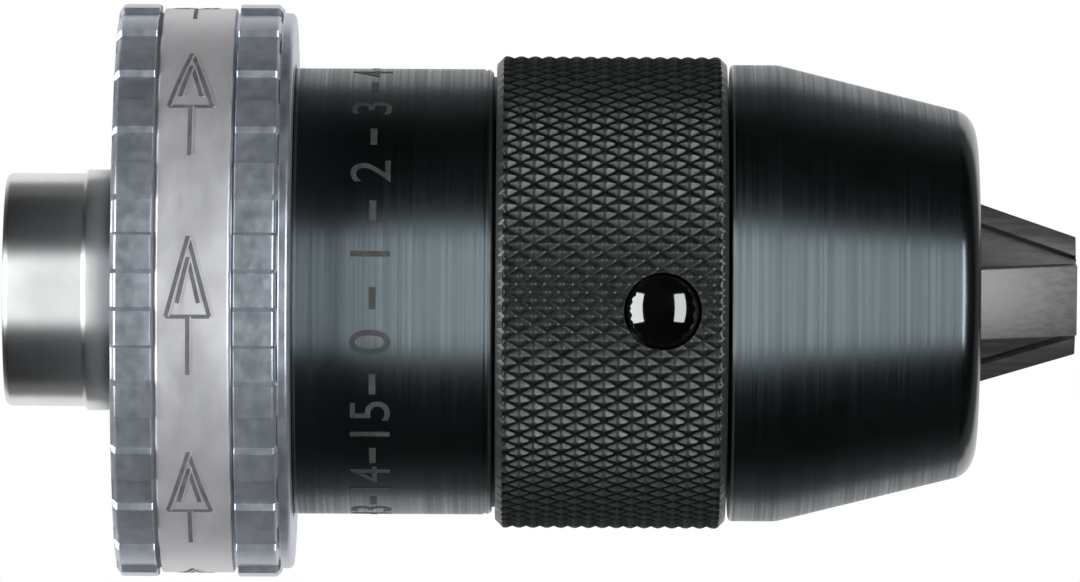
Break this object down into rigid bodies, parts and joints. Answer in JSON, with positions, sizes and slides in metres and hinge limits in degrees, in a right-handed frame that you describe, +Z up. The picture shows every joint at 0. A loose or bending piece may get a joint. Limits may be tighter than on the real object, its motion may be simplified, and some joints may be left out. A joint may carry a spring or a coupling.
{
  "type": "drill chuck",
  "caption": "Keyless drill chuck: turning the knurled sleeve feeds a screw spindle that slides three jaws down a conical nose to grip a round shank.",
  "frame": {"origin": "on the chuck's axis, in the plane of the hub's rear face", "axes": "+X along the chuck's axis from the hub towards the jaws; +Z up; jaw 1 faces 7 degrees below -Y"},
  "size_m": [0.0974, 0.0518, 0.0518],
  "materials": {
    "polished_steel": "turned and polished",
    "grey_ring": "satin moulded grey",
    "clip_steel": "blued spring steel",
    "felt": "dense oiled felt",
    "bearing_steel": "ground and polished bearing steel",
    "brass": "stamped brass",
    "hardened_steel": "hardened steel, satin",
    "blackened_steel": "black oxide over fine turning marks",
    "blackened_knurl": "black oxide on a diamond knurl",
    "gloss_black": "gloss black",
    "ground_steel": "ground tool steel"
  },
  "bodies": {
    "root": {"chuck_body": "polished_steel", "grip_ring": "grey_ring", "ring_clip": "clip_steel", "felt_seal": "felt", "front_race": "bearing_steel"},
    "ball_cage": {"ball_cage": "brass", "ball_01": "bearing_steel", "ball_02": "bearing_steel", "ball_03": "bearing_steel", "ball_04": "bearing_steel", "ball_05": "bearing_steel", "ball_06": "bearing_steel", "ball_07": "bearing_steel", "ball_08": "bearing_steel", "ball_09": "bearing_steel", "ball_10": "bearing_steel", "ball_11": "bearing_steel", "ball_12": "bearing_steel"},
    "nose": {"nose": "blackened_steel", "thrust_nut": "hardened_steel", "rear_race": "bearing_steel", "spring_clip": "clip_steel", "wave_spring": "clip_steel"},
    "lock_ring": {"lock_ring": "hardened_steel"},
    "outer_sleeve": {"rear_sleeve": "blackened_steel", "knurled_sleeve": "blackened_knurl", "stop_stud_1": "gloss_black", "stop_stud_2": "gloss_black", "stop_stud_3": "gloss_black"},
    "spindle": {"adjusting_spindle": "hardened_steel"},
    "jaw_1": {"jaw_1": "ground_steel"},
    "jaw_2": {"jaw_2": "ground_steel"},
    "jaw_3": {"jaw_3": "ground_steel"}
  },
  "joints": [
    {"name": "nose_turn", "type": "hinge", "parent": "root", "child": "nose", "pos_m": [0.05, 0, 0], "axis": [1, 0, 0], "range_deg": [0, 1500]},
    {"name": "cage_spin", "type": "hinge", "parent": "root", "child": "ball_cage", "pos_m": [0.0326, 0, 0], "axis": [1, 0, 0], "range_deg": [0, 750]},
    {"name": "lock_shift", "type": "hinge", "parent": "nose", "child": "outer_sleeve", "pos_m": [0.045, 0, 0], "axis": [-1, 0, 0], "range_deg": [0, 20]},
    {"name": "lock_slide", "type": "slide", "parent": "nose", "child": "lock_ring", "axis": [-1, 0, 0], "range_m": [0, 0.001]},
    {"name": "spindle_feed", "type": "slide", "parent": "nose", "child": "spindle", "axis": [-1, 0, 0], "range_m": [0, 0.0125]},
    {"name": "jaw_1_slide", "type": "slide", "parent": "nose", "child": "jaw_1", "axis": [-0.9363, -0.3485, -0.0428], "range_m": [0, 0.01335]},
    {"name": "jaw_2_slide", "type": "slide", "parent": "nose", "child": "jaw_2", "axis": [-0.9363, 0.1372, 0.3232], "range_m": [0, 0.01335]},
    {"name": "jaw_3_slide", "type": "slide", "parent": "nose", "child": "jaw_3", "axis": [-0.9363, 0.2113, -0.2804], "range_m": [0, 0.01335]}
  ],
  "couplings": [
    {"joint": "cage_spin", "follows": "nose_turn", "ratio": 0.5},
    {"joint": "lock_slide", "follows": "lock_shift", "m_per_rad": 0.0028648},
    {"joint": "spindle_feed", "follows": "nose_turn", "m_per_rad": 0.00047746},
    {"joint": "jaw_1_slide", "follows": "nose_turn", "m_per_rad": 0.00050993},
    {"joint": "jaw_2_slide", "follows": "nose_turn", "m_per_rad": 0.00050993},
    {"joint": "jaw_3_slide", "follows": "nose_turn", "m_per_rad": 0.00050993}
  ]
}
